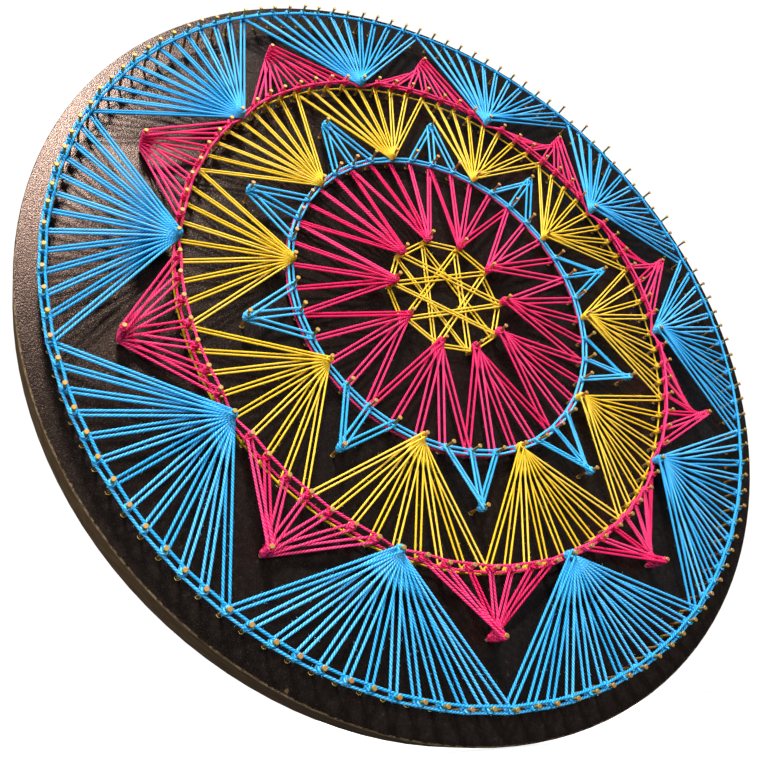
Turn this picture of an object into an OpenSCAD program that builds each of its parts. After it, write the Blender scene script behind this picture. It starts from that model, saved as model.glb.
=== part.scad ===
// String art mandala: a round wooden board with rings of brass nails and six wound threads.
// Drawn as it hangs: +Z up, the front faces -Y, the back lies on the wall plane Y = 0.
// The origin is where the wall screw sits, at the top of the keyhole slot in the back.

/* [Board] */
// Board diameter
board_d = 302; // [294:1:320]
// Board thickness
board_t = 14; // [14:0.5:20]
// Chamfer round the front and back edges
edge_chamfer = 0.3; // [0.3:0.1:1.5]
// Height of the hanging point above the board's centre
hang_height = 110; // [100:1:120]
// Sideways offset of the hand-set nail pattern from the board's centre
pattern_x = -3.3; // [-3.5:0.1:3.5]
// Upward offset of the nail pattern from the board's centre
pattern_z = -1.5; // [-3:0.1:3]

/* [Keyhole] */
// Entry hole for the wall screw's head
entry_d = 10; // [9:0.5:12]
// Width of the slot that the screw's shank slides up
slot_w = 5; // [4:0.5:5.5]
// How far the board drops onto the screw
slot_drop = 12; // [11:1:15]
// Thickness of the wood lip that holds the screw's head
lip_t = 3; // [2:0.5:4]
// Depth of the keyhole from the back face
keyhole_depth = 8; // [7:0.5:8.5]
// Width of the undercut behind the lip
undercut_w = 9; // [8:0.5:9]

/* [Nails] */
// Shank diameter
shank_d = 0.9; // [0.8:0.05:1]
// Head diameter
head_d = 1.5; // [1.4:0.1:2]
// Head thickness
head_t = 0.45; // [0.3:0.05:0.6]
// Height of the head's top above the board
nail_h = 10.8; // [10.7:0.1:11.5]
// Depth of the nail in the wood
nail_depth = 5; // [3:0.5:5.5]
// Sideways drift of a nail per millimetre of its height
nail_lean = 0.02; // [0:0.005:0.03]
// How far a nail's height differs from the height above
nail_uneven = 0.25; // [0:0.05:0.3]
// The same for the alternate nails in the uneven stretch of the outer ring
zigzag_rise = 1.3; // [0:0.1:1.4]

/* [Threads] */
// Blue thread diameter
blue_d = 0.9; // [0.8:0.05:0.95]
// Pink thread diameter
pink_d = 0.88; // [0.7:0.02:0.88]
// Yellow thread diameter
yellow_d = 0.72; // [0.6:0.02:0.72]

/* [Hidden] */
$fn = 32;

// Ring radii: the outer ring steps in by one pitch at a time.
ring_pitch = 19.25;
r_outer = 140;
r_pink_tip = r_outer - ring_pitch;
r_middle = r_outer - 2 * ring_pitch;
r_blue_tip = r_outer - 3 * ring_pitch;
r_inner = r_outer - 4 * ring_pitch;
r_centre = 23.75;

// Nails on each ring
folds = 10;
n_outer = 12 * folds;
n_middle = 8 * folds;
n_inner = 4 * folds;
turn = -18; // the first spoke stands half a fold to the left of straight up

shank_r = shank_d / 2;
head_under = nail_h - head_t;
tip_len = 1.4;
tip_r = 0.12;
gap = 0.02; // running gap between neighbouring solids

colour_board = [0.05, 0.045, 0.04];
colour_brass = [0.80, 0.62, 0.32];
colour_blue = [0.10, 0.45, 0.95];
colour_light_blue = [0.25, 0.62, 0.98];
colour_pink = [0.90, 0.04, 0.28];
colour_yellow = [0.95, 0.75, 0.10];

// ---- Places ----

// The pattern is drawn flat, x right, y up and z out of the board's front, then stood up.
module stand_up() {
  translate([0, -board_t, -hang_height]) rotate([90, 0, 0]) children();
}

function foot(r, a) = [pattern_x + r * sin(a), pattern_z + r * cos(a)];

// Every nail leans a little, as hand-driven nails do. Seed keeps the rings different.
function lean(seed, i) = nail_lean * [sin(137 * i + 29 * seed), cos(211 * i + 47 * seed)];

// Fourteen outer nails lean alternately in and out, and stand alternately low and high.
zigzag_first = 17;
zigzag_last = 30;
zigzag = 0.06;
function zigzag_sign(i) = i < zigzag_first || i > zigzag_last ? 0 : 2 * (i % 2) - 1;
function zigzag_at(i) = zigzag * zigzag_sign(i) * [sin(angle_outer(i)), cos(angle_outer(i))];

// How much higher than nail_h a nail stands
function rise(seed, i) = nail_uneven * sin(97 * i + 31 * seed);
function rise_outer(i) = zigzag_sign(i) == 0 ? rise(6, i) : zigzag_rise * zigzag_sign(i);

function angle_outer(i) = turn + i * 360 / n_outer;
function angle_middle(i) = turn + i * 360 / n_middle;
function angle_inner(i) = turn + i * 360 / n_inner;
function angle_spoke(k) = turn + k * 360 / folds;
function angle_tip(k) = angle_spoke(k) + 180 / folds;

// The point on a nail's axis at height h above the board
function up_nail(base, slope, h) = concat(base + h * slope, h);
function wrap(i, n) = (i % n + n) % n;
function at_outer(i, h) = let (m = wrap(i, n_outer))
  up_nail(foot(r_outer, angle_outer(m)), lean(6, m) + zigzag_at(m), h);
function at_pink_tip(i, h) = let (m = wrap(i, folds))
  up_nail(foot(r_pink_tip, angle_tip(m)), lean(5, m), h);
function at_middle(i, h) = let (m = wrap(i, n_middle))
  up_nail(foot(r_middle, angle_middle(m)), lean(4, m), h);
function at_blue_tip(i, h) = let (m = wrap(i, folds))
  up_nail(foot(r_blue_tip, angle_tip(m)), lean(3, m), h);
function at_inner(i, h) = let (m = wrap(i, n_inner))
  up_nail(foot(r_inner, angle_inner(m)), lean(2, m), h);
function at_centre(i, h) = let (m = wrap(i, folds))
  up_nail(foot(r_centre, angle_spoke(m)), lean(1, m), h);

// ---- Building blocks ----

// Stands its children along the line from p to q
module along(p, q) {
  v = q - p;
  translate(p) rotate([0, acos(v[2] / norm(v)), atan2(v[1], v[0])]) children();
}

module nail(p, q) {
  along(p, q) rotate_extrude() polygon([
    [0, 0], [tip_r, 0], [shank_r, tip_len], [shank_r, nail_depth + head_under],
    [head_d / 2 - 0.1, nail_depth + head_under], [head_d / 2, nail_depth + head_under + 0.1],
    [head_d / 2, nail_depth + nail_h - 0.12], [head_d / 2 - 0.15, nail_depth + nail_h],
    [0, nail_depth + nail_h],
  ]);
}

module nail_hole(p, q) {
  along(p, q) rotate_extrude() polygon([
    [0, 0], [tip_r, 0], [shank_r, tip_len], [shank_r, nail_depth + 2], [0, nail_depth + 2],
  ]);
}

// A straight run of thread of diameter d
module strand(p, q, d) {
  along(p, q) cylinder(h = norm(q - p), d = d);
}

// One run beside two nails at p and q, side_p and side_q to the left of each axis, cut back at the ends
module run(p, q, side_p, side_q, cut_p, cut_q, d) {
  reach = norm([q[0] - p[0], q[1] - p[1]]);
  u = (q - p) / reach;
  left = [-u[1], u[0], 0];
  strand(p + side_p * left + cut_p * u, q + side_q * left - cut_q * u, d);
}

// The runs of one loop: out along one side of a ring nail and back along the other
module loop(p, q, side_p, side_q, cut_p, cut_q, d) {
  for (side = [-1, 1]) run(p, q, side * side_p, side * side_q, cut_p, cut_q, d);
}

// The turns of thread round a nail, as one sleeve from p to q
module sleeve(p, q, r_out) {
  along(p, q) difference() {
    cylinder(h = norm(q - p), r = r_out);
    translate([0, 0, -1]) cylinder(h = norm(q - p) + 2, r = shank_r + gap);
  }
}

function sleeve_r(d) = shank_r + d;
function side(d) = shank_r + d / 2 + gap;
function cut(d) = sqrt(pow(sleeve_r(d) + 2 * gap, 2) - pow(side(d) - d / 2, 2));

// Where a fan converges its runs close up side by side, and stop at the gathered lump.
gather_side = 0.51;
gather_r = 2.95;
gather_cut = 3.0;

// The gathered lump: a sleeve round the nail, and a wedge that fills the start of the fan
module lump(p, q, d, heading, spread) {
  sleeve(p, q, sleeve_r(d) + 0.2);
  along(p, q) rotate([0, 0, 90 - heading - spread / 2])
    rotate_extrude(angle = spread)
      translate([sleeve_r(d) + 0.2 + gap, 0]) square([gather_r - sleeve_r(d) - 0.2 - gap, norm(q - p)]);
}

// Heights of the loops in a fan: neighbours in the fan lie on different levels.
function level(j, levels, base, step) = base + step * wrap(j, levels);

// ---- Board and nails ----

module board() {
  color(colour_board) difference() {
    rotate([90, 0, 0]) translate([0, -hang_height, 0]) rotate_extrude($fn = 360) polygon([
      [0, 0], [board_d / 2 - edge_chamfer, 0], [board_d / 2, edge_chamfer],
      [board_d / 2, board_t - edge_chamfer], [board_d / 2 - edge_chamfer, board_t], [0, board_t],
    ]);
    keyhole();
    stand_up() {
      for (i = [0:folds - 1]) nail_hole(at_centre(i, rise(1, i) - nail_depth), at_centre(i, 2));
      for (i = [0:n_inner - 1]) nail_hole(at_inner(i, rise(2, i) - nail_depth), at_inner(i, 2));
      for (i = [0:folds - 1]) nail_hole(at_blue_tip(i, rise(3, i) - nail_depth), at_blue_tip(i, 2));
      for (i = [0:n_middle - 1]) nail_hole(at_middle(i, rise(4, i) - nail_depth), at_middle(i, 2));
      for (i = [0:folds - 1]) nail_hole(at_pink_tip(i, rise(5, i) - nail_depth), at_pink_tip(i, 2));
      for (i = [0:n_outer - 1]) nail_hole(at_outer(i, rise_outer(i) - nail_depth), at_outer(i, 2));
    }
  }
}

// Entry hole below, and a slot with an undercut that rises to the hanging point
module keyhole() {
  translate([0, 1, 0]) rotate([90, 0, 0]) {
    translate([0, -slot_drop, 0]) cylinder(h = keyhole_depth + 1, d = entry_d);
    cylinder(h = keyhole_depth + 1, d = slot_w);
    translate([-slot_w / 2, -slot_drop, 0]) cube([slot_w, slot_drop, keyhole_depth + 1]);
    translate([0, 0, lip_t + 1]) {
      cylinder(h = keyhole_depth - lip_t, d = undercut_w);
      translate([-undercut_w / 2, -slot_drop, 0]) cube([undercut_w, slot_drop, keyhole_depth - lip_t]);
    }
  }
}

module nails_centre() {
  color(colour_brass) stand_up() for (i = [0:folds - 1])
    nail(at_centre(i, rise(1, i) - nail_depth), at_centre(i, rise(1, i)));
}

module nails_inner() {
  color(colour_brass) stand_up() for (i = [0:n_inner - 1])
    nail(at_inner(i, rise(2, i) - nail_depth), at_inner(i, rise(2, i)));
}

module nails_blue_tips() {
  color(colour_brass) stand_up() for (i = [0:folds - 1])
    nail(at_blue_tip(i, rise(3, i) - nail_depth), at_blue_tip(i, rise(3, i)));
}

module nails_middle() {
  color(colour_brass) stand_up() for (i = [0:n_middle - 1])
    nail(at_middle(i, rise(4, i) - nail_depth), at_middle(i, rise(4, i)));
}

module nails_pink_tips() {
  color(colour_brass) stand_up() for (i = [0:folds - 1])
    nail(at_pink_tip(i, rise(5, i) - nail_depth), at_pink_tip(i, rise(5, i)));
}

module nails_outer() {
  color(colour_brass) stand_up() for (i = [0:n_outer - 1])
    nail(at_outer(i, rise_outer(i) - nail_depth), at_outer(i, rise_outer(i)));
}

// ---- Threads ----

// Yellow star and decagon on the ten centre nails: each line is doubled.
star_base = 0.95;
star_step = 0.76;
module thread_yellow_star() {
  d = yellow_d;
  color(colour_yellow) stand_up() for (i = [0:folds - 1]) {
    h_star = level(i, 5, star_base, star_step);
    h_side = level(i + 3, 5, star_base, star_step);
    sleeve(at_centre(i, 0.55), at_centre(i, 4.4), sleeve_r(d));
    loop(at_centre(i, h_star), at_centre(i + 4, h_star), side(d), side(d), cut(d), cut(d), d);
    loop(at_centre(i, h_side), at_centre(i + 1, h_side), side(d), side(d), cut(d), cut(d), d);
  }
}

// Pink fans from each centre nail to five inner nails, and a line outside the inner ring
module thread_pink_inner() {
  d = pink_d;
  color(colour_pink) stand_up() {
    for (k = [0:folds - 1]) {
      lump(at_centre(k, 4.5), at_centre(k, 7.7), d, angle_spoke(k), 84);
      for (j = [-2:2]) {
        h = level(j, 3, 5, 1.1);
        h_ring = j == 2 ? 1.9 : 3;
        loop(at_centre(k, h), at_inner(4 * k + j, h_ring), gather_side, side(d), gather_cut, cut(d), d);
      }
    }
    for (i = [0:n_inner - 1]) {
      sleeve(at_inner(i, 1.3), at_inner(i, 3.6), sleeve_r(d));
      run(at_inner(i, 2.2), at_inner(i + 1, 2.2), side(d), side(d), cut(d), cut(d), d);
    }
  }
}

// Light-blue triangles from each tip nail to three inner nails, and a line each side of the ring
module thread_light_blue() {
  d = blue_d;
  color(colour_light_blue) stand_up() {
    for (k = [0:folds - 1]) {
      sleeve(at_blue_tip(k, 5), at_blue_tip(k, 8.8), sleeve_r(d));
      for (j = [-1:1]) {
        h = 5.6 + 1.25 * (j + 1);
        loop(at_blue_tip(k, h), at_inner(4 * k + 2 + j, 5.6), side(d), side(d), 3.2, cut(d), d);
      }
    }
    for (i = [0:n_inner - 1]) {
      top = i % 4 == 0 ? 4.9 : 6.2;
      sleeve(at_inner(i, 3.85), at_inner(i, top), sleeve_r(d));
      for (s = [-1, 1])
        run(at_inner(i, 4.38), at_inner(i + 1, 4.38), s * side(d), s * side(d), cut(d), cut(d), d);
    }
  }
}

// Yellow fans from every fourth inner nail to nine middle nails, and a line outside the middle ring
module thread_yellow_fans() {
  d = yellow_d;
  color(colour_yellow) stand_up() {
    for (k = [0:folds - 1]) {
      lump(at_inner(4 * k, 4.95), at_inner(4 * k, 8.6), d, angle_spoke(k), 112);
      for (j = [-4:4]) {
        h = level(j, 4, 5.4, 0.92);
        h_ring = j == 4 ? 4.65 : 3.8;
        loop(at_inner(4 * k, h), at_middle(8 * k + j, h_ring), gather_side, side(d), gather_cut, cut(d), d);
      }
    }
    for (i = [0:n_middle - 1]) {
      top = i % 8 == 0 ? 4.3 : 5.1;
      sleeve(at_middle(i, 1.95), at_middle(i, top), sleeve_r(d));
      run(at_middle(i, 2.4), at_middle(i + 1, 2.4), side(d), side(d), cut(d), cut(d), d);
    }
  }
}

// Pink triangles from each tip nail to seven middle nails, and a line each side of the middle ring
module thread_pink_outer() {
  d = pink_d;
  color(colour_pink) stand_up() {
    for (k = [0:folds - 1]) {
      sleeve(at_pink_tip(k, 0.8), at_pink_tip(k, 9.9), sleeve_r(d) + 0.15);
      for (j = [-3:3]) {
        h = 1.6 + 1.2 * wrap(3 * j, 7);
        loop(at_pink_tip(k, h), at_middle(8 * k + 4 + j, 7), side(d), side(d), 2.4, cut(d), d);
      }
    }
    for (i = [0:n_middle - 1]) {
      spoke = i % 8 == 0;
      before_spoke = i % 8 == 7;
      low = spoke ? 4.35 : 5.2;
      top = spoke ? 5.3 : 9;
      sleeve(at_middle(i, low), at_middle(i, top), sleeve_r(d));
      run(at_middle(i, spoke ? 4.83 : 5.7), at_middle(i + 1, before_spoke ? 4.83 : 5.7),
        side(d), side(d), cut(d), cut(d), d);
      run(at_middle(i, spoke ? 4.83 : 8.3), at_middle(i + 1, before_spoke ? 4.83 : 8.3),
        -side(d), -side(d), cut(d), cut(d), d);
    }
  }
}

// Blue fans from every eighth middle nail to thirteen outer nails
module thread_blue_fans() {
  d = blue_d;
  color(colour_blue) stand_up() {
    for (k = [0:folds - 1]) {
      lump(at_middle(8 * k, 5.4), at_middle(8 * k, 9.9), d, angle_spoke(k), 130);
      for (j = [-6:6]) {
        h = level(j, 4, 5.95, 1.15);
        h_ring = j == 6 ? 5.4 : 6.35;
        loop(at_middle(8 * k, h), at_outer(12 * k + j, h_ring), gather_side, side(d), gather_cut, cut(d), d);
      }
    }
  }
}

// The blue line that runs round both sides of the outer ring, with its turns round each nail
module line_blue_outer() {
  d = blue_d;
  color(colour_blue) stand_up() for (i = [0:n_outer - 1]) {
    sleeve(at_outer(i, 4.85), at_outer(i, 8), sleeve_r(d));
    run(at_outer(i, 6.2), at_outer(i + 1, 6.2), side(d), side(d), cut(d), cut(d), d);
    run(at_outer(i, 7.35), at_outer(i + 1, 7.35), -side(d), -side(d), cut(d), cut(d), d);
  }
}

board();
nails_centre();
nails_inner();
nails_blue_tips();
nails_middle();
nails_pink_tips();
nails_outer();
thread_yellow_star();
thread_pink_inner();
thread_light_blue();
thread_yellow_fans();
thread_pink_outer();
thread_blue_fans();
line_blue_outer();
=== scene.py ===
import math

import bpy
import numpy as np
from mathutils import Matrix, Vector


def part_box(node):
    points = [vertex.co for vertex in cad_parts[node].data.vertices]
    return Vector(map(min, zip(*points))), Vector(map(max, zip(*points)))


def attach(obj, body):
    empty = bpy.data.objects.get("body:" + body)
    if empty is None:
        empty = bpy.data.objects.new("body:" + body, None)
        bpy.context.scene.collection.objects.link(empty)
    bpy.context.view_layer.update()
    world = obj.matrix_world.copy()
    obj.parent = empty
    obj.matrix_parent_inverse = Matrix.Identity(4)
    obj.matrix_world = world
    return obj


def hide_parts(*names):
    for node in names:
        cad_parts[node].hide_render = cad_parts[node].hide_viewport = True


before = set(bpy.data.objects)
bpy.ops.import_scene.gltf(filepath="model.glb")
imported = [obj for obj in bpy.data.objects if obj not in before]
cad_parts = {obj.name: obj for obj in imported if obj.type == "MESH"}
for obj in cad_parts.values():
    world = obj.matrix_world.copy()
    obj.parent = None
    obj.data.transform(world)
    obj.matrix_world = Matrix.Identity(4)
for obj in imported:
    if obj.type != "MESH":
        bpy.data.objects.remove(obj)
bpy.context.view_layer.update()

# String art mandala: brass nails in a black wooden board, wound with blue, light-blue, pink and
# yellow thread. Shapes are worked out in millimetres on the flat front of the board (x right,
# y up, z out of the front), from the nails that the CAD model holds, and then put in the frame.

MM = 0.001
rng = np.random.default_rng(11)

# ---- The camera: from the lower left, close to the board, looking up along its front ----

board_low, board_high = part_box("board")
front_y = board_low.y
outer_low, outer_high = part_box("nails_outer")
centre_x = (outer_low.x + outer_high.x) / 2
centre_z = (outer_low.z + outer_high.z) / 2

camera_from_pattern = Vector((-128.8, -193.7, -137.9)) * MM
camera_right = Vector((0.9132, -0.4035, -0.0569))
camera_up = Vector((-0.1402, -0.4423, 0.8859))
camera_forward = Vector((0.3826, 0.8010, 0.4605))
camera_data = bpy.data.cameras.new("camera")
camera_data.lens = 32.82
camera_data.sensor_width = 36
camera_data.shift_x = 0.0304
camera_data.shift_y = -0.0477
camera_data.clip_start = 0.01
camera = bpy.data.objects.new("camera", camera_data)
bpy.context.scene.collection.objects.link(camera)
turn = Matrix((camera_right, camera_up, -camera_forward)).transposed()
place = Vector((centre_x, front_y, centre_z)) + camera_from_pattern
camera.matrix_world = Matrix.Translation(place) @ turn.to_4x4()
bpy.context.scene.camera = camera

# ---- The nails, read from the CAD ----

SPOKE = math.radians(-18)  # the first spoke of the pattern, clockwise from straight up
FOLDS = 10
HALF = math.pi / FOLDS  # from a spoke to the gap between two spokes
END_SLICE = 0.2  # how much of a nail's end is taken to find its axis there


def read_ring(node, count, first):
    """Each nail's foot on the board's front and its slope, clockwise from angle first."""
    co = np.array([v.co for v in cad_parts[node].data.vertices])
    flat = np.c_[co[:, 0] - centre_x, co[:, 2] - centre_z, front_y - co[:, 1]] / MM
    step = 2 * math.pi / count
    angle = np.arctan2(flat[:, 0], flat[:, 1])
    index = np.rint((angle - first) / step).astype(int) % count
    foot, slope = [], []
    for i in range(count):
        mine = flat[index == i]
        high, low = mine[:, 2].max(), mine[:, 2].min()
        ends = []
        for near in (mine[mine[:, 2] > high - END_SLICE], mine[mine[:, 2] < low + END_SLICE]):
            ends.append((near.min(0) + near.max(0)) / 2)
        lean = (ends[0][:2] - ends[1][:2]) / (ends[0][2] - ends[1][2])
        slope.append(lean)
        foot.append(ends[1][:2] - lean * ends[1][2])
    return {"foot": np.array(foot), "slope": np.array(slope), "count": count}


centre_ring = read_ring("nails_centre", FOLDS, SPOKE)
inner_ring = read_ring("nails_inner", 4 * FOLDS, SPOKE)
blue_tips = read_ring("nails_blue_tips", FOLDS, SPOKE + HALF)
middle_ring = read_ring("nails_middle", 8 * FOLDS, SPOKE)
pink_tips = read_ring("nails_pink_tips", FOLDS, SPOKE + HALF)
outer_ring = read_ring("nails_outer", 12 * FOLDS, SPOKE)


def at(ring, i, h):
    """The point on nail i's axis at height h."""
    i = i % ring["count"]
    x, y = ring["foot"][i] + ring["slope"][i] * h
    return np.array([x, y, h])


# ---- Thread ----

SHANK_R = 0.45
BLUE_D, PINK_D, YELLOW_D = 0.92, 0.88, 0.72
BITE = 0.08  # how far a tight thread is pressed flat against its nail
TURN_PITCH = 0.92  # from one turn round a nail to the next, in thread diameters
STEP = 0.4  # distance between the rings of a thread's mesh
ARC_STEP = 0.9 * STEP  # the same where the thread bends round a nail
SIDES = 9
PLIES = 3
LAY = 3.4  # length of one turn of the plies
MEAN_R, PLY_RELIEF, SLUB_RELIEF = 0.925, 0.07, 0.025  # in thread radii
PLY_SHADE_AND_HIGHLIGHT = 0.35  # how far the painted shade in a ply's grooves and the painted highlight on its crests swing
SLUBS = ((3, 5.3), (5, 8.9), (7, 14.1))  # a phase factor and a length for each wave of the slubs


def side(d):
    """From a nail's axis to the axis of a thread that lies against it."""
    return SHANK_R + d / 2 - BITE


def line(p, q):
    """Points from p to q, without q."""
    n = max(2, int(np.linalg.norm(q - p) / STEP))
    t = np.arange(n)[:, None] / n
    return p + (q - p) * t


def arc(c, radius, a0, a1, h0, h1):
    """Points round the axis at c from angle a0 to a1, rising from h0 to h1, without the last."""
    n = max(4, int(abs(a1 - a0) * radius / ARC_STEP))
    t = np.arange(n) / n
    a = a0 + (a1 - a0) * t
    return np.c_[c[0] + radius * np.cos(a), c[1] + radius * np.sin(a), h0 + (h1 - h0) * t]


def belt(p, q, rp, rq, drop=0.0):
    """One loop of thread round the nails at p and q. Its clockwise run lies lower by drop."""
    u = (q - p)[:2] / np.linalg.norm((q - p)[:2])
    a = math.atan2(u[1], u[0])
    left = np.array([-u[1], u[0], 0])
    down = np.array([0, 0, drop / 2])
    return np.concatenate([
        line(p - left * rp - down, q - left * rq - down),
        arc(q, rq, a - math.pi / 2, a + math.pi / 2, q[2] - drop / 2, q[2] + drop / 2),
        line(q + left * rq + down, p + left * rp + down),
        arc(p, rp, a + math.pi / 2, a + 3 * math.pi / 2, p[2] + drop / 2, p[2] - drop / 2),
    ])


def round_ring(ring, heights, offset):
    """A closed line along a ring of nails, outside them if offset is positive."""
    points = []
    for i in range(ring["count"]):
        p = at(ring, i, heights[i])
        points.append(p + np.array([*(p[:2] / np.linalg.norm(p[:2])), 0]) * offset)
    points.append(points[0])
    return np.concatenate([line(a, b) for a, b in zip(points, points[1:])])


def turns(ring, i, h0, h1, d, extra=0.0):
    """The turns of thread round nail i, from height h0 to h1."""
    low, high = h0 + d / 2, h1 - d / 2
    count = max(1.0, (high - low) / (TURN_PITCH * d))
    a0 = rng.uniform(0, 2 * math.pi)
    radius = side(d) + extra
    n = int(count * 2 * math.pi * radius / ARC_STEP)
    t = np.linspace(0, 1, n)
    a = a0 + t * count * 2 * math.pi
    h = low + (high - low) * t
    axis = np.array([at(ring, i, z)[:2] for z in h])
    return np.c_[axis[:, 0] + radius * np.cos(a), axis[:, 1] + radius * np.sin(a), h]


def directions(path, closed):
    """The unit vectors along a path, and across it level and upright."""
    if closed:
        ahead = np.roll(path, -1, 0) - np.roll(path, 1, 0)
    else:
        ahead = np.gradient(path, axis=0)
    ahead /= np.linalg.norm(ahead, axis=1)[:, None]
    out = np.cross(ahead, [0, 0, 1.0])
    out /= np.linalg.norm(out, axis=1)[:, None]
    return ahead, out, np.cross(out, ahead)


def tube(path, d, closed, phase):
    """Vertices, quads, end triangles and ply height of one thread along a path."""
    n = len(path)
    ahead, out, up = directions(path, closed)
    gone = np.r_[0, np.cumsum(np.linalg.norm(np.diff(path, axis=0), axis=1))]
    total = gone[-1] + (np.linalg.norm(path[0] - path[-1]) if closed else 0)
    lay = total / max(1, round(total / LAY)) if closed else LAY
    around = np.arange(SIDES) * 2 * math.pi / SIDES
    ply = np.cos(PLIES * (around[None, :] - 2 * math.pi * gone[:, None] / lay + phase))
    # slubs: the spun thread is a little thicker in some places than in others
    slub = sum(np.sin(2 * math.pi * gone / length + phase * k) for k, length in SLUBS)
    if closed:
        slub = slub * np.sin(math.pi * gone / total) ** 2
    r = d / 2 * (MEAN_R + PLY_RELIEF * ply + SLUB_RELIEF * slub[:, None])
    co = (
        path[:, None, :]
        + out[:, None, :] * (r * np.cos(around))[:, :, None]
        + up[:, None, :] * (r * np.sin(around))[:, :, None]
    ).reshape(-1, 3)
    rings = n if closed else n - 1
    i = np.arange(rings)[:, None] * SIDES
    j = (np.arange(rings)[:, None] + 1) % n * SIDES
    a = np.arange(SIDES)[None, :]
    b = (a + 1) % SIDES
    quads = np.stack([i + a, j + a, j + b, i + b], axis=-1).reshape(-1, 4)
    # the ply value sets the painted shade in the grooves and the painted highlight on the crests
    ply = (0.5 + PLY_SHADE_AND_HIGHLIGHT * ply).ravel()
    if closed:
        return co, quads, np.zeros((0, 3), int), ply
    first, last = len(co), len(co) + 1
    a, b = a.ravel(), b.ravel()
    top = (n - 1) * SIDES
    ends = [np.c_[np.full(SIDES, first), a, b], np.c_[np.full(SIDES, last), top + b, top + a]]
    return np.concatenate([co, path[[0, -1]]]), quads, np.concatenate(ends), np.r_[ply, 0.5, 0.5]


FIBRE_EVERY = 2.4  # one loose fibre for this much thread
FIBRE_R = 0.05
FIBRE_SHORT, FIBRE_LONG = 0.35, 1.0
FIBRE_ROOT = 0.40  # where a fibre starts, from the thread's axis, in diameters
FIBRE_RINGS = np.array([0.0, 0.5, 1.0])  # along a fibre, from its root to its tip
FIBRE_TAPER = np.array([1.0, 0.8, 0.35])
FIBRE_PLY = 0.8  # loose fibres take the painted highlight colour of a ply's crest
CORNERS = 3


def fibres(path, d, closed):
    """Short loose fibres that stand off a run of thread, as thin closed spikes."""
    total = np.linalg.norm(np.diff(path, axis=0), axis=1).sum()
    count = int(total / FIBRE_EVERY)
    at_ring = rng.integers(1, len(path) - 1, count)
    lean = rng.uniform(0, 2 * math.pi, count)
    length = rng.uniform(FIBRE_SHORT, FIBRE_LONG, count)
    sweep = rng.uniform(-1, 1, (count, 2))
    ahead, out, up = (v[at_ring] for v in directions(path, closed))
    away = out * np.cos(lean)[:, None] + up * np.sin(lean)[:, None]
    side_way = np.cross(ahead, away)
    t = FIBRE_RINGS
    base = path[at_ring] + away * (FIBRE_ROOT * d)
    spine = (
        base[:, None, :]
        + away[:, None, :] * (length[:, None] * t * (1 - 0.25 * t))[:, :, None]
        + ahead[:, None, :] * (length[:, None] * sweep[:, :1] * t * t)[:, :, None]
        + side_way[:, None, :] * (0.5 * length[:, None] * sweep[:, 1:] * t * t)[:, :, None]
    )
    corner = np.arange(CORNERS) * 2 * math.pi / CORNERS
    thick = FIBRE_R * FIBRE_TAPER
    ring = ahead[:, None, None, :] * np.cos(corner)[None, None, :, None]
    ring = ring + side_way[:, None, None, :] * np.sin(corner)[None, None, :, None]
    co = (spine[:, :, None, :] + ring * thick[None, :, None, None]).reshape(-1, 3)
    i = np.arange(count)[:, None, None] * len(t) * CORNERS
    low = i + np.arange(len(t) - 1)[None, :, None] * CORNERS
    high = low + CORNERS
    a = np.arange(CORNERS)[None, None, :]
    b = (a + 1) % CORNERS
    quads = np.stack([low + a, low + b, high + b, high + a], axis=-1)
    tip = (len(t) - 1) * CORNERS
    caps = np.array([[0, 2, 1], [tip, tip + 1, tip + 2]])[None, :, :] + i
    return co, quads.reshape(-1, 4), caps.reshape(-1, 3), np.full(len(co), FIBRE_PLY)


def to_frame(co):
    """Flat millimetres to the row's frame in metres."""
    return np.c_[co[:, 0] * MM + centre_x, front_y - co[:, 2] * MM, co[:, 1] * MM + centre_z]


def make_mesh(name, co, quads, triangles=None):
    """A smooth-shaded piece from flat millimetres."""
    mesh = bpy.data.meshes.new(name)
    mesh.vertices.add(len(co))
    mesh.vertices.foreach_set("co", to_frame(co).astype(np.float32).ravel())
    corners = [quads.ravel()] if triangles is None else [quads.ravel(), triangles.ravel()]
    corners = np.concatenate(corners).astype(np.int32)
    starts = np.arange(0, quads.size, 4)
    if triangles is not None:
        starts = np.r_[starts, quads.size + np.arange(0, triangles.size, 3)]
    mesh.loops.add(len(corners))
    mesh.loops.foreach_set("vertex_index", corners)
    mesh.polygons.add(len(starts))
    mesh.polygons.foreach_set("loop_start", starts.astype(np.int32))
    mesh.polygons.foreach_set("use_smooth", np.ones(len(starts), bool))
    mesh.update(calc_edges=True)
    mesh.validate()
    piece = bpy.data.objects.new(name, mesh)
    bpy.context.scene.collection.objects.link(piece)
    return piece


def make_thread(node, paths, d, slot):
    """The wound thread that replaces a CAD node, from runs of (points, closed)."""
    co, quads, triangles, ply, shade = [], [], [], [], []
    count = 0
    for path, closed in paths:
        tone = rng.uniform(0, 1)
        thread = tube(path, d, closed, rng.uniform(0, 2 * math.pi))
        for c, q, t, p in (thread, fibres(path, d, closed)):
            co.append(c)
            quads.append(q + count)
            triangles.append(t + count)
            ply.append(p)
            shade.append(np.full(len(c), tone))
            count += len(c)
    piece = make_mesh(
        node + "_wound", np.concatenate(co), np.concatenate(quads), np.concatenate(triangles))
    for label, values in (("ply", ply), ("shade", shade)):
        layer = piece.data.attributes.new(label, "FLOAT", "POINT")
        layer.data.foreach_set("value", np.concatenate(values).astype(np.float32))
    piece.data.materials.append(spun[slot])
    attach(piece, "root")
    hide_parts(node)


# ---- Materials ----


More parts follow.
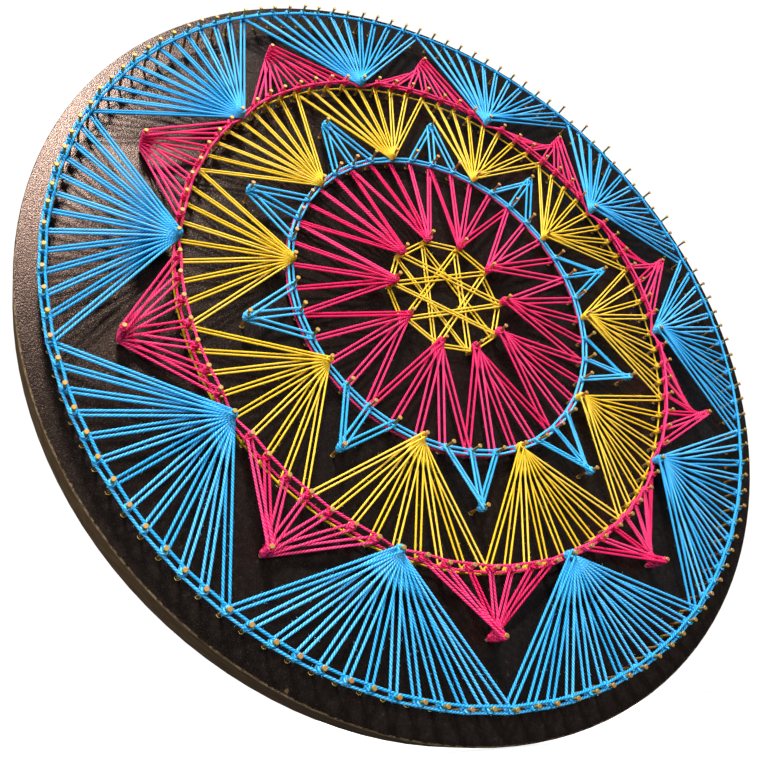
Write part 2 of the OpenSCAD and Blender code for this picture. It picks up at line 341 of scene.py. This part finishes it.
class Look:
    """A material in the making. Its methods add a node each, and give back what comes out."""

    def __init__(self, name):
        self.material = bpy.data.materials.new(name)
        self.material.use_nodes = True
        self.nodes = self.material.node_tree.nodes
        self.shader = self.nodes["Principled BSDF"]
        self.where = self.nodes.new("ShaderNodeTexCoord").outputs["Object"]

    def put(self, socket, value):
        """Link an output to a socket, or set the socket to a plain value."""
        if isinstance(value, bpy.types.NodeSocket):
            self.material.node_tree.links.new(value, socket)
        else:
            socket.default_value = value

    def add(self, kind, inputs, **settings):
        node = self.nodes.new(kind)
        for setting, value in settings.items():
            setattr(node, setting, value)
        for socket, value in inputs.items():
            self.put(node.inputs[socket], value)
        return node

    def surface(self, inputs):
        """Set or link the inputs of the shader."""
        for socket, value in inputs.items():
            self.put(self.shader.inputs[socket], value)
        return self.material

    def noise(self, scale, detail=2.0, roughness=0.5, vector=None):
        inputs = {"Scale": scale, "Detail": detail, "Roughness": roughness}
        inputs["Vector"] = self.where if vector is None else vector
        return self.add("ShaderNodeTexNoise", inputs).outputs["Fac"]

    def ramp(self, factor, stops):
        """The colour for a factor, from stops of (place, colour)."""
        ramp = self.add("ShaderNodeValToRGB", {"Fac": factor})
        elements = ramp.color_ramp.elements
        while len(elements) < len(stops):
            elements.new(0.5)
        for element, (place, colour) in zip(elements, stops):
            element.position = place
            element.color = (*colour, 1)
        return ramp.outputs["Color"]

    def spread(self, value, low, high, to_low=0.0, to_high=1.0):
        """A value from low to high, spread over to_low to to_high and held at both ends."""
        inputs = {"Value": value, "From Min": low, "From Max": high, "To Min": to_low, "To Max": to_high}
        return self.add("ShaderNodeMapRange", inputs).outputs["Result"]

    def calc(self, operation, *values):
        return self.add("ShaderNodeMath", dict(enumerate(values)), operation=operation).outputs[0]

    def vector(self, operation, *values):
        return self.add("ShaderNodeVectorMath", dict(enumerate(values)), operation=operation).outputs

    def mix(self, factor, a, b, kind="FLOAT"):
        inputs = {"Factor": factor, "A": a, "B": b}
        return self.add("ShaderNodeMix", inputs, data_type=kind).outputs["Result"]

    def bump(self, height, strength, distance):
        inputs = {"Height": height, "Strength": strength, "Distance": distance}
        return self.add("ShaderNodeBump", inputs).outputs["Normal"]


def thread_material(name, groove_shade, body, light):
    """Spun thread: painted shade in the grooves between the plies and a painted highlight on their
    crests.
    """
    look = Look(name)
    ply = look.add("ShaderNodeAttribute", {}, attribute_name="ply").outputs["Fac"]
    shade = look.add("ShaderNodeAttribute", {}, attribute_name="shade").outputs["Fac"]
    fibre = look.noise(3200, detail=3)
    # groove to crest, for the painted shade and highlight, with fibres and a small difference between
    # runs
    height = look.calc("MULTIPLY_ADD", fibre, 0.55, ply)
    height = look.calc("MULTIPLY_ADD", shade, 0.22, height)
    height = look.calc("MULTIPLY", height, 0.6)
    return look.surface({
        # the groove colour is painted shade and the light colour a painted highlight on the ply crests
        "Base Color": look.ramp(height, [(0.12, groove_shade), (0.50, body), (0.80, light)]),
        "Roughness": look.spread(fibre, 0, 1, 0.42, 0.62),
        "Normal": look.bump(fibre, 0.35, 0.1 * MM),
        "Specular IOR Level": 0.08,
    })


def brass_material():
    """Dull brass, from nail to nail yellow, golden or rosy."""
    look = Look("brass_nail")
    yellow, golden, rosy = (0.66, 0.50, 0.18), (0.76, 0.48, 0.14), (0.78, 0.46, 0.26)
    fine = look.noise(2600)
    return look.surface({
        "Base Color": look.ramp(look.noise(140), [(0.36, yellow), (0.50, golden), (0.66, rosy)]),
        "Roughness": look.spread(fine, 0, 1, 0.62, 0.85),
        "Normal": look.bump(fine, 0.25, 0.05 * MM),
        "Metallic": 1.0,
    })


def splinter_material():
    """Fresh wood, where a nail hole broke the paint."""
    look = Look("hole_rim_wood")
    dark, light = (0.30, 0.20, 0.03), (0.75, 0.58, 0.16)
    colour = look.ramp(look.noise(2200, detail=4), [(0.3, dark), (0.7, light)])
    return look.surface({"Base Color": colour, "Roughness": 0.7})


CHIP = (-0.0675, -0.1338)  # a small chip in the paint, from the board's centre
CHIP_SIZE, CHIP_RAGGED = 3.3 * MM, 5.2 * MM
SIDE_PAINT = (0.4 * MM, 0.7 * MM)  # the paint fades out this far behind the front
EDGE_PAINT = (0.25 * MM, 0.1 * MM)  # and this far in from the rim
EDGE_WEAR_AND_HIGHLIGHT = (0.5 * MM, 0.3 * MM)  # the edge of the front is pale from here outward, with wear and a painted highlight along the edge
GRAIN = (9, 260, 260)  # the wood's grain runs along X


def board_material(centre, radius, half):
    """Sandy black paint on the front, dark stained wood on the rim and back, worn at the edges and with
    a painted highlight along the front's edge.
    """
    look = Look("black_board")
    axes = look.add("ShaderNodeSeparateXYZ", {0: look.vector("SUBTRACT", look.where, centre)[0]}).outputs
    flat = look.add("ShaderNodeCombineXYZ", {"X": axes["X"], "Y": axes["Z"]}).outputs[0]
    reach = look.vector("LENGTH", flat)["Value"]

    # the wood, seen on the rim, on the back and where the paint is gone
    along = look.add("ShaderNodeMapping", {"Vector": look.where, "Scale": GRAIN}).outputs[0]
    grain = look.noise(1.0, 8, 0.65, along)
    stained = [(0.3, (0.052, 0.031, 0.014)), (0.5, (0.100, 0.062, 0.030)), (0.72, (0.155, 0.102, 0.052))]
    wood = look.ramp(grain, stained)
    # pale wood for the front's edge: wear, and a painted highlight along the edge
    pale = look.ramp(grain, [(0.3, (0.09, 0.062, 0.034)), (0.7, (0.22, 0.16, 0.09))])

    # the paint, with pale dust specks
    black, grey, speck = (0.0052, 0.0039, 0.0035), (0.0096, 0.0074, 0.0065), (0.038, 0.032, 0.028)
    paint_colour = look.ramp(look.noise(620, 5, 0.8), [(0.40, black), (0.62, grey), (0.74, speck)])

    # where the paint stops, where it is chipped off, and where the front's edge is pale with wear and a
    # painted highlight
    off_front = look.spread(axes["Y"], SIDE_PAINT[0] - half, SIDE_PAINT[1] - half)
    on_front = look.spread(axes["Y"], SIDE_PAINT[1] - half, SIDE_PAINT[0] - half)
    at_rim = look.spread(reach, radius - EDGE_PAINT[0], radius - EDGE_PAINT[1])
    bare = look.calc("MAXIMUM", at_rim, off_front)
    patches = look.noise(700, 4, 0.7)
    near_edge = look.spread(reach, radius - EDGE_WEAR_AND_HIGHLIGHT[0], radius - EDGE_WEAR_AND_HIGHLIGHT[1])
    # the pale edge is wear in patches and a painted highlight along the edge
    wear_and_highlight = look.calc("MULTIPLY", near_edge, look.spread(patches, 0.42, 0.6))
    wear_and_highlight = look.calc("MULTIPLY", wear_and_highlight, on_front)
    away = look.vector("DISTANCE", flat, (*CHIP, 0))["Value"]
    ragged = look.calc("MULTIPLY_ADD", patches, CHIP_RAGGED, away)
    chip = look.spread(ragged, CHIP_SIZE, CHIP_SIZE - 0.6 * MM)
    colour = look.mix(chip, paint_colour, wood, "RGBA")
    colour = look.mix(bare, colour, wood, "RGBA")
    colour = look.mix(wear_and_highlight, colour, pale, "RGBA")

    # the paint's gloss and relief vary from grain to grain of the sand
    gloss = look.spread(look.noise(2900, 1), 0.38, 0.62, 0.22, 0.30)
    relief = look.mix(bare, look.noise(2600, 2, 0.55), grain)
    return look.surface({
        "Base Color": colour,
        "Roughness": look.mix(bare, gloss, 0.6),
        "Normal": look.bump(relief, 0.6, 0.14 * MM),
        "Specular IOR Level": 0.37,
        "Specular Tint": (1.0, 0.62, 0.47, 1),
    })


THREAD_TONES = {  # painted groove shade, body colour and painted crest highlight, for each thread's slot in the record
    "blue_thread": ((0, 0.05, 0.18), (0, 0.29, 0.63), (0.24, 0.61, 0.92)),
    "light_blue_thread": ((0, 0.06, 0.20), (0, 0.32, 0.65), (0.24, 0.62, 0.93)),
    "pink_thread": ((0.14, 0, 0.012), (0.66, 0, 0.066), (0.96, 0.13, 0.35)),
    "yellow_thread": ((0.26, 0.14, 0), (0.72, 0.46, 0), (0.93, 0.66, 0.20)),
}
spun = {slot: thread_material(slot, *tones) for slot, tones in THREAD_TONES.items()}
brass = brass_material()
splinters = splinter_material()
board_size = board_high - board_low
board_paint = board_material((board_low + board_high) / 2, board_size.x / 2, board_size.y / 2)


def paint(node, material):
    """Give a CAD node its only material."""
    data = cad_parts[node].data
    data.materials.clear()
    data.materials.append(material)


paint("board", board_paint)
for node in ("centre", "inner", "blue_tips", "middle", "pink_tips", "outer"):
    paint("nails_" + node, brass)

# ---- The threads ----
# Heights are above the board's front. The loops of a fan climb the nail they converge on, one
# after another, clockwise, and each loop's clockwise run lies about one thread below its other run.

DROP = 0.9  # in thread diameters
RIM_JITTER = 0.12  # how much a fan's loops differ in height where they turn back


def fan(hub_ring, hub, rim_ring, rim, reach, hub_h, rim_h, d, corner_h=None):
    """The loops from one hub nail to the nails at rim - reach to rim + reach.

    They climb the hub between the two heights in hub_h and turn back at height rim_h, the last
    one at corner_h where that is given.
    """
    paths = []
    for j in range(-reach, reach + 1):
        t = (j + reach) / (2 * reach)
        p = at(hub_ring, hub, hub_h[0] + (hub_h[1] - hub_h[0]) * t)
        h = corner_h if j == reach and corner_h else rim_h
        q = at(rim_ring, rim + j, h + rng.uniform(-RIM_JITTER, RIM_JITTER))
        outward = 0.5 * d * (0.5 - abs(t - 0.5))
        paths.append((belt(p, q, side(d) + outward, side(d), DROP * d), True))
    return paths


def collars(ring, low, high, d, extra=0.0, which=None):
    """The turns of thread round every nail of a ring, or round those in which."""
    return [(turns(ring, i, low, high, d, extra), False) for i in (which or range(ring["count"]))]


# the star joins every fourth nail of the centre ring, and the decagon every next one
STAR_LOW, STAR_LEVELS, STAR_DROP = 0.95, 5, 0.35
star = []
for k in range(FOLDS):
    for span, level in ((4, k % STAR_LEVELS), (1, (k + 3) % STAR_LEVELS)):
        h = STAR_LOW + YELLOW_D * level
        p, q = at(centre_ring, k, h), at(centre_ring, k + span, h)
        star.append((belt(p, q, side(YELLOW_D), side(YELLOW_D), STAR_DROP), True))
star += collars(centre_ring, 0.6, 4.2, YELLOW_D)
make_thread("thread_yellow_star", star, YELLOW_D, "yellow_thread")

pink = []
for k in range(FOLDS):
    pink += fan(centre_ring, k, inner_ring, 4 * k, 2, (5.0, 7.2), 3.0, PINK_D, corner_h=2.1)
pink += collars(centre_ring, 4.5, 7.7, PINK_D, extra=0.35)
pink += collars(inner_ring, 1.3, 3.6, PINK_D)
pink.append((round_ring(inner_ring, [2.2] * inner_ring["count"], side(PINK_D)), True))
make_thread("thread_pink_inner", pink, PINK_D, "pink_thread")

light = []
for k in range(FOLDS):
    light += fan(blue_tips, k, inner_ring, 4 * k + 2, 1, (5.6, 7.9), 5.5, BLUE_D)
light += collars(blue_tips, 5.0, 8.7, BLUE_D)
for i in range(inner_ring["count"]):
    light += collars(inner_ring, 3.8, 4.9 if i % 4 == 0 else 6.2, BLUE_D, which=[i])
for s in (-1, 1):
    light.append((round_ring(inner_ring, [4.38] * inner_ring["count"], s * side(BLUE_D)), True))
make_thread("thread_light_blue", light, BLUE_D, "light_blue_thread")

yellow = []
for k in range(FOLDS):
    yellow += fan(inner_ring, 4 * k, middle_ring, 8 * k, 4, (5.3, 8.1), 3.9, YELLOW_D, corner_h=4.6)
    yellow += collars(inner_ring, 4.9, 8.5, YELLOW_D, extra=0.2, which=[4 * k])
for i in range(middle_ring["count"]):
    yellow += collars(middle_ring, 1.95, 4.3 if i % 8 == 0 else 5.1, YELLOW_D, which=[i])
yellow.append((round_ring(middle_ring, [2.4] * middle_ring["count"], side(YELLOW_D)), True))
make_thread("thread_yellow_fans", yellow, YELLOW_D, "yellow_thread")

pink = []
for k in range(FOLDS):
    pink += fan(pink_tips, k, middle_ring, 8 * k + 4, 3, (1.6, 9.2), 7.0, PINK_D)
pink += collars(pink_tips, 0.8, 9.85, PINK_D)
spokes = [i % 8 == 0 for i in range(middle_ring["count"])]
for i, spoke in enumerate(spokes):
    low, high = (4.35, 5.3) if spoke else (5.2, 9.0)
    pink += collars(middle_ring, low, high, PINK_D, which=[i])
pink.append((round_ring(middle_ring, [4.83 if spoke else 5.7 for spoke in spokes], side(PINK_D)), True))
pink.append((round_ring(middle_ring, [4.83 if spoke else 8.3 for spoke in spokes], -side(PINK_D)), True))
make_thread("thread_pink_outer", pink, PINK_D, "pink_thread")

blue = []
for k in range(FOLDS):
    blue += fan(middle_ring, 8 * k, outer_ring, 12 * k, 6, (5.9, 9.3), 6.3, BLUE_D, corner_h=5.6)
    blue += collars(middle_ring, 5.4, 9.8, BLUE_D, extra=0.2, which=[8 * k])
make_thread("thread_blue_fans", blue, BLUE_D, "blue_thread")

# the lines along the outer ring lie higher toward the bottom of the board
lift = [0.45 * (1 - y / np.linalg.norm((x, y))) for x, y in outer_ring["foot"]]
edge = []
for i, more in enumerate(lift):
    edge += collars(outer_ring, 4.85, 8.0 + more, BLUE_D, which=[i])
edge.append((round_ring(outer_ring, [6.2 + more for more in lift], side(BLUE_D)), True))
edge.append((round_ring(outer_ring, [7.35 + more for more in lift], -side(BLUE_D)), True))
make_thread("line_blue_outer", edge, BLUE_D, "blue_thread")

# ---- Bare wood below the foot of each nail, where the hole broke the paint ----

RIM_R, RIM_WIRE = 0.80, 0.12
RIM_LIFT = 0.03  # of the arc's axis above the paint
RIM_TIP = 0.15  # how thick the ends are, as a share of the middle
RIM_FROM, RIM_TO = math.radians(175), math.radians(355)
RIM_STEPS, RIM_SIDES = 16, 6


def crescent(foot, radius):
    """A thin raised arc of splintered wood, tapered to both ends."""
    t = np.linspace(0, 1, RIM_STEPS)[:, None]
    a = RIM_FROM + (RIM_TO - RIM_FROM) * t
    b = np.arange(RIM_SIDES)[None, :] * 2 * math.pi / RIM_SIDES
    taper = RIM_TIP + (1 - RIM_TIP) * np.sin(math.pi * t) ** 0.6
    wire = RIM_WIRE * taper * rng.uniform(0.8, 1.25, t.shape)
    reach = radius + wire * np.cos(b)
    co = np.stack([
        foot[0] + reach * np.cos(a), foot[1] + reach * np.sin(a), RIM_LIFT + wire * np.sin(b),
    ], axis=-1).reshape(-1, 3)
    p = np.arange(RIM_STEPS - 1)[:, None] * RIM_SIDES
    c = np.arange(RIM_SIDES)[None, :]
    e = (c + 1) % RIM_SIDES
    quads = np.stack([p + c, p + RIM_SIDES + c, p + RIM_SIDES + e, p + e], axis=-1).reshape(-1, 4)
    end = (RIM_STEPS - 1) * RIM_SIDES
    caps = np.array([[0, 1, 2, 3], [0, 3, 4, 5], [3, 2, 1, 0], [5, 4, 3, 0]])
    caps[2:] += end
    return co, np.concatenate([quads, caps])


rim_co, rim_quads = [], []
made = 0
for ring in (centre_ring, inner_ring, blue_tips, middle_ring, pink_tips, outer_ring):
    for i in range(ring["count"]):
        co, quads = crescent(at(ring, i, 0.0), RIM_R * rng.uniform(0.9, 1.1))
        rim_co.append(co)
        rim_quads.append(quads + made)
        made += len(co)
rims = make_mesh("nail_hole_rims", np.concatenate(rim_co), np.concatenate(rim_quads))
rims.data.materials.append(splinters)
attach(rims, "root")

# ---- Floor, light and sky ----

FLOOR_HALF = 3.0
FLOOR_GAP = 0.0005  # between the board and the floor
WHITE = (1, 1, 1, 1)

floor_mesh = bpy.data.meshes.new("floor")
corners = [(-1, -1), (1, -1), (1, 1), (-1, 1)]
floor_mesh.from_pydata([(x * FLOOR_HALF, y * FLOOR_HALF, 0) for x, y in corners], [], [(0, 1, 2, 3)])
floor = bpy.data.objects.new("floor", floor_mesh)
floor.location = (centre_x, 0, board_low.z - FLOOR_GAP)
bpy.context.scene.collection.objects.link(floor)
floor_mesh.materials.append(Look("floor").surface({
    "Base Color": (0.85, 0.85, 0.85, 1),
    "Roughness": 0.8,
    "Emission Color": WHITE,
    "Emission Strength": 0.88,
}))
# the floor only shows as a pale ground: it throws no light up at the board
floor.visible_diffuse = False
floor.visible_glossy = False

LAMP_DISTANCE = 1.3


def area_light(name, direction, size, power, colour=(1, 1, 1), glossy=False):
    """A round lamp that faces the middle of the pattern, seen in reflections only if glossy."""
    data = bpy.data.lights.new(name, "AREA")
    data.shape = "DISK"
    data.size = size
    data.energy = power
    data.color = colour
    lamp = bpy.data.objects.new(name, data)
    target = Vector((centre_x, front_y, centre_z))
    lamp.location = target + Vector(direction).normalized() * LAMP_DISTANCE
    lamp.rotation_euler = (target - lamp.location).to_track_quat("-Z", "Y").to_euler()
    lamp.visible_glossy = glossy
    bpy.context.scene.collection.objects.link(lamp)


area_light("key", (-0.235, -0.655, 0.715), 0.22, 28, (1.0, 0.98, 0.95), glossy=True)
area_light("fill", (-0.20, -0.95, -0.05), 0.7, 22)
area_light("side", (-0.92, -0.38, 0.0), 0.24, 8)
area_light("back", (0.35, 0.85, 0.4), 0.7, 17)

SKY_LIGHT, SKY_SEEN = 0.08, 1.05  # how bright the sky lights the object, and looks to the camera
world = bpy.data.worlds.new("studio")
world.use_nodes = True
bpy.context.scene.world = world
sky_nodes = world.node_tree.nodes
sky_links = world.node_tree.links
sky = sky_nodes["Background"]
sky.inputs["Color"].default_value = WHITE
sky.inputs["Strength"].default_value = SKY_LIGHT
seen = sky_nodes.new("ShaderNodeBackground")
seen.inputs["Color"].default_value = WHITE
seen.inputs["Strength"].default_value = SKY_SEEN
ray = sky_nodes.new("ShaderNodeLightPath")
choose = sky_nodes.new("ShaderNodeMixShader")
sky_links.new(ray.outputs["Is Camera Ray"], choose.inputs["Fac"])
sky_links.new(sky.outputs[0], choose.inputs[1])
sky_links.new(seen.outputs[0], choose.inputs[2])
sky_links.new(choose.outputs[0], sky_nodes["World Output"].inputs["Surface"])
bpy.context.scene.view_settings.view_transform = "Standard"
